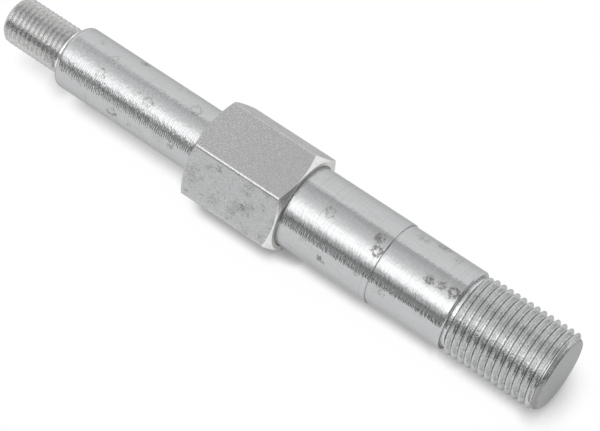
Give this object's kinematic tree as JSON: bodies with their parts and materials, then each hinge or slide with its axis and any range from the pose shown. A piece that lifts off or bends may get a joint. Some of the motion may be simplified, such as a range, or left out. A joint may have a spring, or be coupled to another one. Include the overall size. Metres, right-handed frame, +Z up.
{
  "type": "shock mount stud",
  "caption": "Double-ended turned steel stud with a hexagon in the middle: a wide threaded end for a bracket and a narrow threaded end that carries a shock absorber's eye.",
  "frame": {"origin": "on the stud's axis, in the plane of the hexagon's face on the wide side, where the seat begins", "axes": "+X along the stud's axis towards the wide threaded end; +Z up, square to the two level flats of the hexagon; the stud lies on the lower of these flats"},
  "size_m": [0.1232, 0.0218, 0.019],
  "materials": {
    "plated_steel": "bright zinc plate over turned steel, with fine turning marks on the round parts and a matt rolled finish on the hexagon's flats"
  },
  "bodies": {
    "root": {"stud": "plated_steel"}
  },
  "joints": []
}
